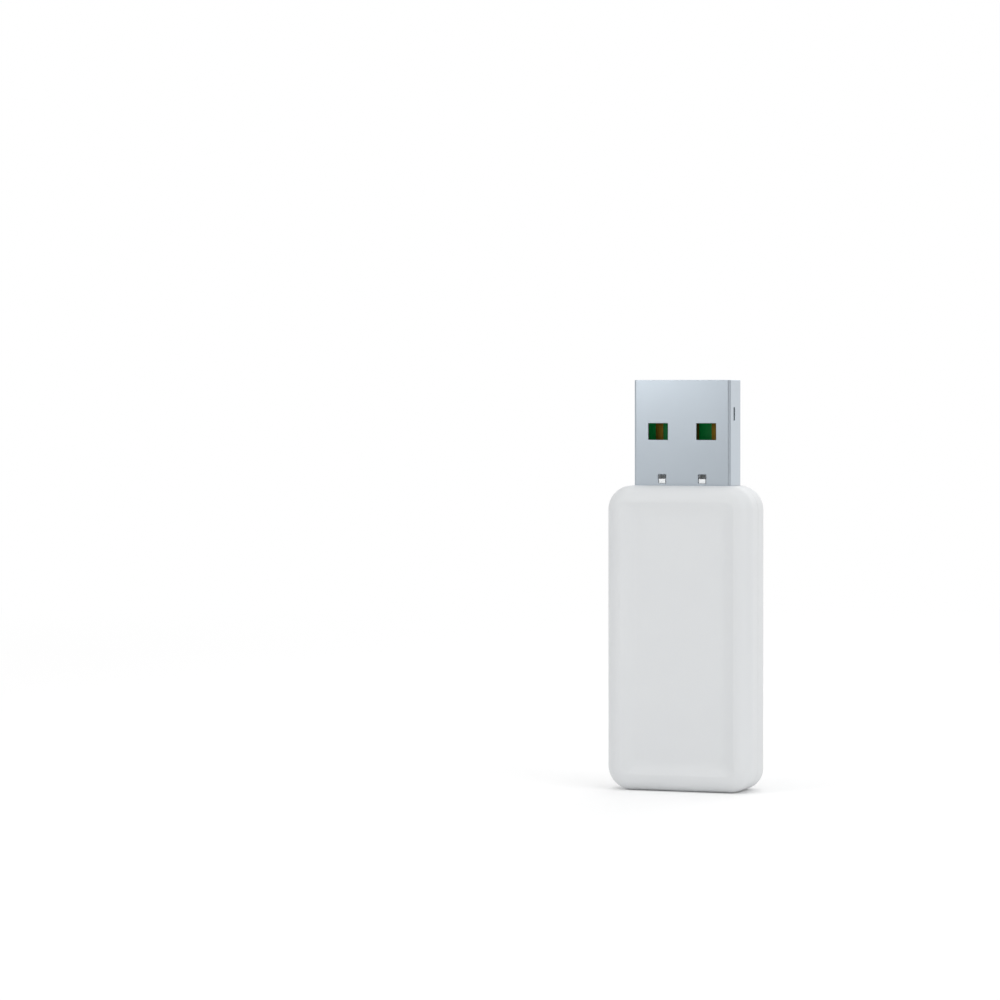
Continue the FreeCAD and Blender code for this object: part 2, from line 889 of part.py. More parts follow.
os.makedirs("parts", exist_ok=True)
for name, shape in pieces.items():
    shape.exportStep("parts/" + name + ".step")
    print(name, len(shape.Solids), round(shape.Volume, 3), shape.isValid())
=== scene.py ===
import json
import math

import bmesh
import bpy
from mathutils import Matrix, Vector


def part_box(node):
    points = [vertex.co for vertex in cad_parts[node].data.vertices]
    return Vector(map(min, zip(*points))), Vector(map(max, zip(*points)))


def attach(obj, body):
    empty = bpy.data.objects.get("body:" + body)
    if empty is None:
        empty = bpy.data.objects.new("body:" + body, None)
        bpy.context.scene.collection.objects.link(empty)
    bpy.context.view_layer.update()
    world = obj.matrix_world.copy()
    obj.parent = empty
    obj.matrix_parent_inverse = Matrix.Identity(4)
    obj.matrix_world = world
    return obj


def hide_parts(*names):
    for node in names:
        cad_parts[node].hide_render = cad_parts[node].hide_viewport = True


# A radio stick for a smart home, standing on its closed end with its plug up.
# Shapes are modelled in millimetres and brought to metres when a piece is finished.

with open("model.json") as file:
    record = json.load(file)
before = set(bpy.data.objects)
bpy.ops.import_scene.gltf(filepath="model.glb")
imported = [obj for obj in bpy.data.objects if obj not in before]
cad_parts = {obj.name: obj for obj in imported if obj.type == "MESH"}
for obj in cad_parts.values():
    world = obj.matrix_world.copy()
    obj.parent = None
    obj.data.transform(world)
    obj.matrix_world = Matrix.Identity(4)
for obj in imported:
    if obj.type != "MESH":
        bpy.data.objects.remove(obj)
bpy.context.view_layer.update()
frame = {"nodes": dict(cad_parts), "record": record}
mm = 0.001


def box_mm(node):
    """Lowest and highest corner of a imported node, in millimetres"""
    low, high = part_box(node)
    return low / mm, high / mm


front_low, front_high = box_mm("front_shell")
rear_high = box_mm("rear_shell")[1]
plug_low, plug_high = box_mm("plug_shell")
board_low, board_high = box_mm("main_board")
carrier_low = box_mm("plug_carrier")[0]

# Housing
half_width = front_high.x
body_height = front_high.z
front_y = front_low.y
back_y = rear_high.y
lip_height = 2.5
parting_y = front_high.y - lip_height
post_joint_depth = 2.7
joint_y = back_y - post_joint_depth
outline_radius = 2.9
front_roll = 1.85
back_roll = 2.75
closed_end_roll = 1.5
front_wall = 1.0
side_wall = 1.1
back_wall = 1.1
parting_gap = 0.03
edge_break = 0.07
break_share = 0.3
lip_inset = 0.6
lip_clearance = 0.04

# Dish in the front face
rim_land = 0.15
dish_depth = 0.45
dish_run = 1.25
dish_corner = 0.9
dish_slope = math.atan2(dish_depth, dish_run)
floor_blend = 3.2
crest_share = 0.9
crest_blend = crest_share * rim_land / math.tan(dish_slope / 2)

# Room inside the housing, and how deep what stands in it is rooted in the walls
bevel_share = 0.6
inner_front_y = front_y + dish_depth + front_wall
inner_back_y = back_y - back_wall
front_bevel = bevel_share * (front_roll - side_wall)
back_bevel = bevel_share * (back_roll - back_wall)
cavity_half = half_width - side_wall
root = 0.3

# Board, and the carrier's flange that the ribs hold
board_half = board_high.x
board_front_y = board_low.y
board_back_y = board_high.y
flange_bottom = carrier_low.z
flange_thickness = 1.0
flange_top = flange_bottom + flange_thickness
seat_gap = 0.05
rib = 0.65
shoulder_z = flange_bottom - rib - 2 * seat_gap

# Posts, pins, rests, ribs and the stop inside the housing
post_inset = 1.4
post_x = cavity_half - post_inset
post_half = 0.95
web_half = 0.35
pin_radius = 0.5
pin_length = 2.2
pin_sides = 6
bore_radius = 0.52
bore_depth = 2.6
lower_post_z = 9.5
upper_post_drop = 3.25
post_heights = (lower_post_z, shoulder_z - upper_post_drop)
lower_rest_z = 14.0
upper_rest_drop = 8.0
rest_heights = (lower_rest_z, shoulder_z - upper_rest_drop)
rest_half = 1.0
rest_bearing = 0.6
notch_clearance = 0.2
rib_from_plug = 0.2
rib_root = 0.1
rib_drop = 0.1
stop_half = 2.0

# Plug sleeve
plug_half = plug_high.x
plug_front_y = plug_low.y
plug_back_y = plug_high.y
tip_z = plug_high.z
sheet = 0.3
bend_outside = 0.33
mouth_roll = 0.07
plug_gap = 0.06
opening_rise = 0.1
leg_half = 0.5
window_width = 2.45
window_length = 2.0
window_from_tip = 5.16
window_offset = 3.0
window_corner = 0.06
latch_width = 1.02
latch_length = 1.1
latch_offset = 2.5
latch_rise = 0.24
slot_width = 0.6
slot_length = 1.6
slot_from_tip = 3.27
slot_from_front = 1.42
cut_roll = 0.04
cut_flare = 0.3
seam_gap = 0.06
key_from_tip = 9.0
key_neck = 0.6
key_flare = 0.35
key_reach = 0.9

# How finely round stretches are divided
corner_steps = 16
roll_steps = 14
blend_steps = 8
opening_steps = 6
bend_steps = 8
mouth_steps = 4
hole_steps = 4
bore_sides = 48

# How far a cutter runs past what it cuts
overrun = 1.0

# Points nearer than this are one, in millimetres, and edges that turn less than this are smooth, in degrees
one_point = 1e-5
smooth_below = 32


# Meshes


def finish_piece(name, bm, material, replaced):
    """Makes a piece of a closed mesh drawn in millimetres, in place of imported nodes"""
    bmesh.ops.remove_doubles(bm, verts=bm.verts, dist=one_point)
    bmesh.ops.recalc_face_normals(bm, faces=bm.faces)
    bmesh.ops.scale(bm, vec=(mm, mm, mm), verts=bm.verts)
    mesh = bpy.data.meshes.new(name)
    bm.to_mesh(mesh)
    bm.free()
    mesh.polygons.foreach_set("use_smooth", [True] * len(mesh.polygons))
    mesh.set_sharp_from_angle(angle=math.radians(smooth_below))
    piece = bpy.data.objects.new(name, mesh)
    bpy.context.scene.collection.objects.link(piece)
    mesh.materials.append(material)
    weighted = piece.modifiers.new("flat faces stay flat", "WEIGHTED_NORMAL")
    weighted.keep_sharp = True
    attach(piece, "root")
    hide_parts(*replaced)


def rounding_centre(co, outline, reach):
    """Centre of the rounding at a rounded rectangle's corner nearest to a point"""
    half_u, low_v, high_v = outline
    v = high_v - reach if co.y > (low_v + high_v) / 2 else low_v + reach
    return Vector((math.copysign(half_u - reach, co.x), v, 0))


def rounded_face(bm, outline, inset, radius, depth, steps):
    """A flat rounded rectangle in the plane at a depth, as the first face of a stack of rings"""
    half_u, low_v, high_v = outline
    made = bmesh.ops.create_grid(bm, x_segments=1, y_segments=1, size=1)["verts"]
    size = (half_u - inset, (high_v - low_v) / 2 - inset, 1)
    bmesh.ops.scale(bm, vec=size, verts=made)
    bmesh.ops.translate(bm, vec=(0, (low_v + high_v) / 2, depth), verts=made)
    bmesh.ops.bevel(
        bm,
        geom=made,
        offset=radius,
        offset_type="OFFSET",
        segments=steps,
        profile=0.5,
        affect="VERTICES",
        clamp_overlap=False,
        material=-1,
    )
    return list(bm.edges)


def next_ring(bm, ring, outline, was, now):
    """Extrudes a ring of edges from one (inset, corner radius, depth) to the next, or to one per direction"""
    made = bmesh.ops.extrude_edge_only(bm, edges=ring)["geom"]
    points = {g for g in made if isinstance(g, bmesh.types.BMVert)}
    for point in points:
        away = point.co - rounding_centre(point.co, outline, was[0] + was[1])
        away.z = 0
        away.normalize()
        inset, radius, depth = now(away) if callable(now) else now
        point.co = rounding_centre(point.co, outline, inset + radius) + away * radius
        point.co.z = depth
    return [g for g in made if isinstance(g, bmesh.types.BMEdge) and set(g.verts) <= points]


def ring_solid(outline, rings, steps=corner_steps):
    """Closed solid through rounded rectangles, each an (inset, corner radius, depth)"""
    bm = bmesh.new()
    ring = rounded_face(bm, outline, *rings[0], steps)
    for was, now in zip(rings, rings[1:]):
        ring = next_ring(bm, ring, outline, was, now)
    bmesh.ops.contextual_create(bm, geom=ring)
    bmesh.ops.recalc_face_normals(bm, faces=bm.faces)
    return bm


def stand_up(bm):
    """Turns an outline drawn flat so that it faces front, with its depth along Y"""
    swap = Matrix(((1, 0, 0, 0), (0, 0, 1, 0), (0, 1, 0, 0), (0, 0, 0, 1)))
    bmesh.ops.transform(bm, matrix=swap, verts=bm.verts)
    bmesh.ops.recalc_face_normals(bm, faces=bm.faces)
    return bm


def turn_sideways(bm):
    """Turns an outline drawn flat so that it faces sideways, with its depth along X"""
    cycle = Matrix(((0, 0, 1, 0), (1, 0, 0, 0), (0, 1, 0, 0), (0, 0, 0, 1)))
    bmesh.ops.transform(bm, matrix=cycle, verts=bm.verts)
    bmesh.ops.recalc_face_normals(bm, faces=bm.faces)
    return bm


def block(x_low, x_high, y_low, y_high, z_low, z_high):
    """Block between two corners"""
    bm = bmesh.new()
    bmesh.ops.create_cube(bm, size=1)
    bmesh.ops.scale(bm, vec=(x_high - x_low, y_high - y_low, z_high - z_low), verts=bm.verts)
    middle = ((x_low + x_high) / 2, (y_low + y_high) / 2, (z_low + z_high) / 2)
    bmesh.ops.translate(bm, vec=middle, verts=bm.verts)
    return bm


def rod(x, z, radius, y_low, y_high, sides):
    """Rod from front to back"""
    bm = bmesh.new()
    bmesh.ops.create_cone(
        bm, cap_ends=True, segments=sides, radius1=radius, radius2=radius, depth=y_high - y_low
    )
    turn = Matrix.Translation((x, (y_low + y_high) / 2, z)) @ Matrix.Rotation(math.pi / 2, 4, "X")
    bmesh.ops.transform(bm, matrix=turn, verts=bm.verts)
    return bm


def mirrored(bm):
    """The same shape on the other side"""
    copy = bm.copy()
    bmesh.ops.scale(copy, vec=(-1, 1, 1), verts=copy.verts)
    bmesh.ops.reverse_faces(copy, faces=copy.faces)
    return copy


def both_sides(bm):
    """The shape on the right and its mirror image on the left"""
    return [bm, mirrored(bm)]


def combine(base, changes):
    """Joins solids to a solid or cuts them from it, in order; each change is an operation and its shapes"""
    scratch = bpy.data.meshes.new("scratch")
    base.to_mesh(scratch)
    base.free()
    work = bpy.data.objects.new("work", scratch)
    bpy.context.scene.collection.objects.link(work)
    tools = []
    for operation, shapes in changes:
        for shape in shapes:
            tool_mesh = bpy.data.meshes.new("tool")
            shape.to_mesh(tool_mesh)
            shape.free()
            tool = bpy.data.objects.new("tool", tool_mesh)
            bpy.context.scene.collection.objects.link(tool)
            tools.append(tool)
            step = work.modifiers.new(operation, "BOOLEAN")
            step.operation = operation
            step.solver = "EXACT"
            step.object = tool
    evaluated = work.evaluated_get(bpy.context.evaluated_depsgraph_get())
    result = bmesh.new()
    result.from_mesh(evaluated.to_mesh())
    evaluated.to_mesh_clear()
    for scrap in [work, *tools]:
        mesh = scrap.data
        bpy.data.objects.remove(scrap)
        bpy.data.meshes.remove(mesh)
    return result


# Housing


body_outline = (half_width, 0, body_height)


def parallel(inset, depth):
    """A ring that runs parallel to the housing's outline"""
    return inset, outline_radius - inset, depth


def plug_opening():
    """What the plug's hole takes out of the top wall"""
    outline = (plug_half + plug_gap, plug_front_y - plug_gap, plug_back_y + plug_gap)
    radius = bend_outside + plug_gap
    rings = [(0, radius, flange_top + opening_rise), (0, radius, body_height + overrun)]
    return ring_solid(outline, rings, opening_steps)


def front_shell_rings():
    """From the dish's floor over the rim and down the side, round the lip and down to the cavity's floor"""
    rim = front_roll + rim_land
    floor_y = front_y + dish_depth
    floor_reach = floor_blend * math.tan(dish_slope / 2)
    floor_start = rim + dish_run + floor_reach
    floor_corner = dish_corner - floor_reach
    crest_start = rim - crest_blend * math.tan(dish_slope / 2)
    rings = []
    for step in range(blend_steps + 1):
        angle = dish_slope * step / blend_steps
        inset = floor_start - floor_blend * math.sin(angle)
        depth = floor_y - floor_blend * (1 - math.cos(angle))
        radius = floor_corner + (dish_corner - floor_corner) * step / blend_steps
        rings.append((inset, radius, depth))
    for step in range(blend_steps + 1):
        angle = dish_slope * (1 - step / blend_steps)
        inset = crest_start + crest_blend * math.sin(angle)
        rings.append((inset, dish_corner, front_y + crest_blend * (1 - math.cos(angle))))
    for step in range(roll_steps + 1):
        angle = math.pi / 2 * step / roll_steps
        inset = front_roll * (1 - math.sin(angle))
        rings.append(parallel(inset, front_y + front_roll * (1 - math.cos(angle))))
    rings.append(parallel(0, parting_y - edge_break))
    rings.append(parallel(break_share * edge_break, parting_y - break_share * edge_break))
    rings.append(parallel(edge_break, parting_y))
    rings.append(parallel(lip_inset, parting_y))
    rings.append(parallel(lip_inset, parting_y + lip_height - edge_break))
    rings.append(parallel(lip_inset + edge_break, parting_y + lip_height))
    rings.append(parallel(side_wall, parting_y + lip_height))
    rings.append(parallel(side_wall, inner_front_y + front_bevel))
    rings.append(parallel(side_wall + front_bevel, inner_front_y))
    return rings


def post(z, y_low, y_high):
    """The right square post at a height"""
    return block(post_x - post_half, post_x + post_half, y_low, y_high, z - post_half, z + post_half)


def front_housing():
    """Front shell: dished face, side walls, tall lip, bored posts, board rests and the plug's ribs"""
    shell = stand_up(ring_solid(body_outline, front_shell_rings()))
    additions = []
    low = inner_front_y - root
    wall = cavity_half + root
    for z in post_heights:
        web_top = board_front_y - notch_clearance
        additions += both_sides(post(z, low, joint_y))
        additions += both_sides(block(post_x, wall, low, web_top, z - web_half, z + web_half))
    for z in rest_heights:
        edges = (board_half - rest_bearing, wall, low, board_front_y)
        additions += both_sides(block(*edges, z - rest_half, z + rest_half))
    rib_start = plug_half + rib_from_plug
    rib_end = cavity_half + rib_root
    rib_top = joint_y - rib_drop
    for z in (flange_top + seat_gap, flange_bottom - seat_gap - rib):
        additions += both_sides(block(rib_start, rib_end, low, rib_top, z, z + rib))
    stop_top = board_low.z - seat_gap
    additions.append(block(-stop_half, stop_half, board_front_y, rib_top, side_wall - root, stop_top))
    cuts = []
    for z in post_heights:
        bore_ends = (joint_y - bore_depth, joint_y + overrun)
        cuts += both_sides(rod(post_x, z, bore_radius, *bore_ends, bore_sides))
    cuts.append(plug_opening())
    solid = combine(shell, [("UNION", additions), ("DIFFERENCE", cuts)])
    finish_piece("front_housing", solid, abs_white, ["front_shell"])


def back_rolled(angle):
    """A ring of the back roll, which tightens from the sides to the closed end round the lower corners"""

    def ring(away):
        turned = math.asin(min(1.0, max(0.0, -away.y))) / (math.pi / 2)
        roll = back_roll + (closed_end_roll - back_roll) * turned
        inset = roll * (1 - math.cos(angle))
        return inset, outline_radius - inset, back_y - roll * (1 - math.sin(angle))

    return ring


def rear_housing():
    """Rear shell: rolled back, thin skirt outside the lip, press pins and board rests"""
    bm = bmesh.new()
    start = parallel(0, 0)
    ring = rounded_face(bm, body_outline, *start, corner_steps)
    steps = [back_rolled(math.pi / 2 * (1 - step / roll_steps)) for step in range(roll_steps + 1)]
    for point in bm.verts:
        away = point.co - rounding_centre(point.co, body_outline, outline_radius)
        away.z = 0
        away.normalize()
        inset, radius, depth = steps[0](away)
        point.co = rounding_centre(point.co, body_outline, outline_radius) + away * radius
        point.co.z = depth
    seam_y = parting_y + parting_gap
    rebate = lip_inset - lip_clearance
    rebate_y = parting_y + lip_height
    steps += [
        parallel(0, seam_y + edge_break),
        parallel(break_share * edge_break, seam_y + break_share * edge_break),
        parallel(edge_break, seam_y),
        parallel(rebate, seam_y),
        parallel(rebate, rebate_y),
        parallel(side_wall, rebate_y),
        parallel(side_wall, inner_back_y - back_bevel),
        parallel(side_wall + back_bevel, inner_back_y),
    ]
    for now in steps[1:]:
        ring = next_ring(bm, ring, body_outline, start, now)
    bmesh.ops.contextual_create(bm, geom=ring)
    shell = stand_up(bm)
    high = inner_back_y + root
    additions = []
    for z in post_heights:
        additions += both_sides(post(z, joint_y, high))
        additions += both_sides(rod(post_x, z, pin_radius, joint_y - pin_length, joint_y + root, pin_sides))
    for z in rest_heights:
        edges = (board_half - rest_bearing, board_half + root, board_back_y, high)
        additions += both_sides(block(*edges, z - rest_half, z + rest_half))
    solid = combine(shell, [("UNION", additions), ("DIFFERENCE", [plug_opening()])])
    finish_piece("rear_housing", solid, abs_white, ["rear_shell"])


# Plug sleeve


def stamped_hole(u_middle, half_u, low_v, high_v, radius, near, far=None):
    """Cutter for a hole stamped in sheet: straight sides that roll off at one surface or at both"""
    outline = (half_u, low_v, high_v)
    over = cut_roll + cut_flare
    rings = [(-over, radius + over, near - cut_flare), (0, radius, near + cut_roll)]
    if far is None:
        rings.append((0, radius, near + 2 * sheet))
    else:
        rings += [(0, radius, far - cut_roll), (-over, radius + over, far + cut_flare)]
    bm = ring_solid(outline, rings, hole_steps)
    bmesh.ops.translate(bm, vec=(u_middle, 0, 0), verts=bm.verts)
    return bm


def seam_cutter():
    """The closed seam down the plug's back, whose dovetail key locks one edge of the sheet in the other"""
    middle = tip_z - key_from_tip
    head = key_neck + key_flare
    start_y = plug_back_y - 1.5 * sheet
    path = [
        (0, flange_top - overrun),
        (0, middle - key_neck),
        (key_reach, middle - head),
        (key_reach, middle + head),
        (0, middle + key_neck),
        (0, tip_z + overrun),
    ]
    bm = bmesh.new()
    points = [bm.verts.new((x, start_y, z)) for x, z in path]
    edges = [bm.edges.new(pair) for pair in zip(points, points[1:])]
    made = bmesh.ops.extrude_edge_only(bm, edges=edges)["geom"]
    raised = [g for g in made if isinstance(g, bmesh.types.BMVert)]
    bmesh.ops.translate(bm, vec=(0, plug_back_y + sheet - start_y, 0), verts=raised)
    bmesh.ops.solidify(bm, geom=list(bm.faces), thickness=seam_gap)
    bmesh.ops.recalc_face_normals(bm, faces=bm.faces)
    return bm


def plug_sleeve():
    """Folded sheet: a rounded tube with windows, latch holes, side slots, a keyed seam and solder legs"""
    outline = (plug_half, plug_front_y, plug_back_y)
    inner = bend_outside - sheet
    rings = [(0, bend_outside, flange_top)]
    for step in range(mouth_steps + 1):
        angle = math.pi / 2 * step / mouth_steps
        inset = mouth_roll * (1 - math.cos(angle))
        rings.append((inset, bend_outside - inset, tip_z - mouth_roll * (1 - math.sin(angle))))
    rings.append((sheet - mouth_roll / 2, inner + mouth_roll / 2, tip_z))
    rings.append((sheet, inner, tip_z - mouth_roll / 2))
    rings.append((sheet, inner, flange_top))
    bm = bmesh.new()
    ring = first = rounded_face(bm, outline, *rings[0], bend_steps)
    for was, now in zip(rings, rings[1:]):
        ring = next_ring(bm, ring, outline, was, now)
    bmesh.ops.delete(bm, geom=[f for f in bm.faces if len(f.verts) > 4], context="FACES_ONLY")
    bmesh.ops.bridge_loops(bm, edges=list(first) + list(ring))
    bmesh.ops.recalc_face_normals(bm, faces=bm.faces)

    window_high = tip_z - window_from_tip
    window_low = window_high - window_length
    half_window = window_width / 2
    cuts = []
    outer = (window_low, window_high, window_corner)
    cuts += both_sides(stand_up(stamped_hole(window_offset, half_window, *outer, plug_front_y, plug_back_y)))
    latch_low = body_height + latch_rise
    outer = (latch_low, latch_low + latch_length, window_corner)
    cuts += both_sides(stand_up(stamped_hole(latch_offset, latch_width / 2, *outer, plug_front_y)))
    slot_high = tip_z - slot_from_tip
    slot_middle = plug_front_y + slot_from_front + slot_width / 2
    outer = (slot_high - slot_length, slot_high, window_corner)
    cuts += both_sides(turn_sideways(stamped_hole(slot_middle, slot_width / 2, *outer, -plug_half)))
    cuts.append(seam_cutter())
    middle_y = (board_front_y + board_back_y) / 2
    leg_y = (middle_y - leg_half, middle_y + leg_half)
    leg = block(plug_half - sheet, plug_half, *leg_y, plug_low.z, flange_top + root)
    solid = combine(bm, [("UNION", both_sides(leg)), ("DIFFERENCE", cuts)])
    finish_piece("plug_sleeve", solid, nickel, ["plug_shell"])


# Materials


def linear(code):
    """Linear colour of an sRGB hex value"""
    parts = [int(code[i : i + 2], 16) / 255 for i in (1, 3, 5)]
    return (*[p / 12.92 if p <= 0.04045 else ((p + 0.055) / 1.055) ** 2.4 for p in parts], 1)


def per_mm(size):
    """Texture scale at which a pattern's period is this many millimetres"""
    return 1 / (size * mm)


def add(tree, kind, values=None, links=None, **settings):
    """Adds a node with its settings, socket values and links"""
    node = tree.nodes.new(kind)
    for key, value in settings.items():
        setattr(node, key, value)
    for socket, value in (values or {}).items():
        node.inputs[socket].default_value = value
    for socket, source in (links or {}).items():
        tree.links.new(source, node.inputs[socket])
    return node


def start_material(name):
    """An empty material, with object coordinates and a principled surface"""
    material = bpy.data.materials.new(name)
    material.use_nodes = True
    tree = material.node_tree
    tree.nodes.clear()
    place = add(tree, "ShaderNodeTexCoord").outputs["Object"]
    surface = add(tree, "ShaderNodeBsdfPrincipled")
    add(tree, "ShaderNodeOutputMaterial", links={"Surface": surface.outputs["BSDF"]})
    return material, tree, place, surface


def white_abs():
    """Spark-eroded satin ABS: a cool pale white whose fine grain only softens the highlights"""
    material, tree, place, surface = start_material("white_abs")
    surface.inputs["IOR"].default_value = 1.53
    cloud = add(tree, "ShaderNodeTexNoise", {"Scale": per_mm(6.0), "Detail": 3.0}, {"Vector": place})
    tint = add(tree, "ShaderNodeMix", {"A": linear("#D8DADC"), "B": linear("#DCDEDF")}, data_type="RGBA")
    tree.links.new(cloud.outputs["Fac"], tint.inputs["Factor"])
    tree.links.new(tint.outputs["Result"], surface.inputs["Base Color"])
    satin = {"To Min": 0.44, "To Max": 0.52}
    gloss = add(tree, "ShaderNodeMapRange", satin, {"Value": cloud.outputs["Fac"]})
    tree.links.new(gloss.outputs["Result"], surface.inputs["Roughness"])
    # The real grain is about 0.05 mm across, too fine to show, so it is drawn three times as coarse
    size = {"Scale": per_mm(0.15), "Detail": 2.0, "Roughness": 0.6}
    grain = add(tree, "ShaderNodeTexNoise", size, {"Vector": place})
    depth = {"Strength": 0.35, "Distance": 0.004 * mm}
    bump = add(tree, "ShaderNodeBump", depth, {"Height": grain.outputs["Fac"]})
    tree.links.new(bump.outputs["Normal"], surface.inputs["Normal"])
    return material


def nickel_plate():
    """Nickel-plated rolled steel: a cool grey metal, satin from the rolls, with faint lines lengthwise"""
    material, tree, place, surface = start_material("nickel_plate")
    surface.inputs["Metallic"].default_value = 1.0
    stretched = add(tree, "ShaderNodeMapping", {"Scale": (1, 1, 0.04)}, {"Vector": place})
    size = {"Scale": per_mm(0.12), "Detail": 3.0, "Roughness": 0.6}
    lines = add(tree, "ShaderNodeTexNoise", size, {"Vector": stretched.outputs["Vector"]})
    cloud = add(tree, "ShaderNodeTexNoise", {"Scale": per_mm(5.0), "Detail": 2.0}, {"Vector": place})
    tint = add(tree, "ShaderNodeMix", {"A": linear("#BCC5CD"), "B": linear("#C2CBD3")}, data_type="RGBA")
    tree.links.new(cloud.outputs["Fac"], tint.inputs["Factor"])
    tree.links.new(tint.outputs["Result"], surface.inputs["Base Color"])
    satin = {"To Min": 0.3, "To Max": 0.38}
    gloss = add(tree, "ShaderNodeMapRange", satin, {"Value": lines.outputs["Fac"]})
    tree.links.new(gloss.outputs["Result"], surface.inputs["Roughness"])
    depth = {"Strength": 0.25, "Distance": 0.002 * mm}
    bump = add(tree, "ShaderNodeBump", depth, {"Height": lines.outputs["Fac"]})
    tree.links.new(bump.outputs["Normal"], surface.inputs["Normal"])
    return material


def solder_resist():
    """Green solder resist over glass laminate: half-matt lacquer through which the glass weave just shows"""
    material, tree, place, surface = start_material("solder_resist")
    surface.inputs["Roughness"].default_value = 0.4
    surface.inputs["Specular IOR Level"].default_value = 0.15
    weave = {"Scale": per_mm(0.4), "Randomness": 0.15}
    cloth = add(tree, "ShaderNodeTexVoronoi", weave, {"Vector": place}, distance="CHEBYCHEV")
    tint = add(tree, "ShaderNodeMix", {"A": linear("#008A3C"), "B": linear("#007A33")}, data_type="RGBA")
    tree.links.new(cloth.outputs["Distance"], tint.inputs["Factor"])
    tree.links.new(tint.outputs["Result"], surface.inputs["Base Color"])
    depth = {"Strength": 0.2, "Distance": 0.01 * mm}
    bump = add(tree, "ShaderNodeBump", depth, {"Height": cloth.outputs["Distance"]})
    tree.links.new(bump.outputs["Normal"], surface.inputs["Normal"])
    return material


def shade_darkened_gold():
    """Thin gold over nickel on copper pads, with fine insertion lines along the plug: a brown-yellow darker
    than gold, which paints the shade inside the plug's mouth
    """
    material, tree, place, surface = start_material("shade_darkened_gold")
    surface.inputs["Metallic"].default_value = 1.0
    stretched = add(tree, "ShaderNodeMapping", {"Scale": (1, 1, 0.03)}, {"Vector": place})
    size = {"Scale": per_mm(0.1), "Detail": 2.0}
    lines = add(tree, "ShaderNodeTexNoise", size, {"Vector": stretched.outputs["Vector"]})
    # Painted shade: both tones are gold darkened to the brown it shows in the shade inside the plug
    tint = add(tree, "ShaderNodeMix", {"A": linear("#836725"), "B": linear("#735B1E")}, data_type="RGBA")
    tree.links.new(lines.outputs["Fac"], tint.inputs["Factor"])
    tree.links.new(tint.outputs["Result"], surface.inputs["Base Color"])
    worn = {"To Min": 0.45, "To Max": 0.6}
    gloss = add(tree, "ShaderNodeMapRange", worn, {"Value": lines.outputs["Fac"]})
    tree.links.new(gloss.outputs["Result"], surface.inputs["Roughness"])
    return material


def moulded(name, dark, light, roughness, grain_size, grain_depth, ior=1.5):
    """A moulded or fired surface: two close tones in soft clouds and a fine grain"""
    material, tree, place, surface = start_material(name)
    surface.inputs["IOR"].default_value = ior
    surface.inputs["Roughness"].default_value = roughness
    cloud = add(tree, "ShaderNodeTexNoise", {"Scale": per_mm(1.2), "Detail": 4.0}, {"Vector": place})
    tint = add(tree, "ShaderNodeMix", {"A": linear(dark), "B": linear(light)}, data_type="RGBA")
    tree.links.new(cloud.outputs["Fac"], tint.inputs["Factor"])
    tree.links.new(tint.outputs["Result"], surface.inputs["Base Color"])
    grain = add(tree, "ShaderNodeTexNoise", {"Scale": per_mm(grain_size), "Detail": 2.0}, {"Vector": place})
    depth = {"Strength": 0.4, "Distance": grain_depth * mm}
    bump = add(tree, "ShaderNodeBump", depth, {"Height": grain.outputs["Fac"]})
    tree.links.new(bump.outputs["Normal"], surface.inputs["Normal"])
    return material


def plated(name, dark, light, roughness, grain_size):
    """A plated metal surface: two close tones and a roughness that varies with the grain"""
    material, tree, place, surface = start_material(name)
    surface.inputs["Metallic"].default_value = 1.0
    cloud = add(tree, "ShaderNodeTexNoise", {"Scale": per_mm(grain_size), "Detail": 4.0}, {"Vector": place})
    tint = add(tree, "ShaderNodeMix", {"A": linear(dark), "B": linear(light)}, data_type="RGBA")
    tree.links.new(cloud.outputs["Fac"], tint.inputs["Factor"])
    tree.links.new(tint.outputs["Result"], surface.inputs["Base Color"])
    spread = {"To Min": roughness - 0.05, "To Max": roughness + 0.08}
    gloss = add(tree, "ShaderNodeMapRange", spread, {"Value": cloud.outputs["Fac"]})
    tree.links.new(gloss.outputs["Result"], surface.inputs["Roughness"])
    return material


abs_white = white_abs()
nickel = nickel_plate()
resist = solder_resist()
# The contacts' gold is darkened to paint the shade inside the plug
gold = shade_darkened_gold()
# Glass-filled nylon is a brighter white than the housing, with a dry, slightly open surface
nylon = moulded(
    "white_nylon", "#F0F2F3", "#F7F9FA", roughness=0.5, grain_size=0.2, grain_depth=0.006, ior=1.53
)
# Bronze strip under thin gold keeps the marks of the rolls and of stamping
bronze = plated("gilded_bronze", "#C79A52", "#D6AE6A", roughness=0.3, grain_size=0.6)
# Tinned sheet is a dull, slightly yellow white metal
tinplate = plated("tinplate", "#BFBFBA", "#D2D2CD", roughness=0.34, grain_size=0.8)
# Chips are moulded in silica-filled epoxy, nearly black and finely matt
epoxy = moulded("moulded_epoxy", "#17181A", "#1E1F21", roughness=0.55, grain_size=0.08, grain_depth=0.004)
# Crystal lids are nickel-plated and bright
lid = plated("nickel_lid", "#C8C2B2", "#D8D3C6", roughness=0.22, grain_size=0.5)
# Layered ceramic capacitors are a matt tan
tan_ceramic = moulded("tan_ceramic", "#8A6A50", "#A07C5E", roughness=0.4, grain_size=0.1, grain_depth=0.003)
# Chip resistors show a black glaze
glaze = moulded("resistor_glaze", "#141414", "#1C1C1D", roughness=0.2, grain_size=0.3, grain_depth=0.002)
# Chip inductors are layered in a grey-blue fired ceramic
blue_ceramic = moulded(
    "inductor_ceramic", "#3F4854", "#515B68", roughness=0.4, grain_size=0.12, grain_depth=0.003
)
# The antenna's ceramic body is fired white
white_ceramic = moulded(
    "antenna_ceramic", "#D9D9D4", "#E4E4E0", roughness=0.35, grain_size=0.12, grain_depth=0.002
)
# The fuse is laminated and lacquered green
fuse_laminate = moulded(
    "fuse_laminate", "#22603A", "#2E7247", roughness=0.35, grain_size=0.2, grain_depth=0.004
)

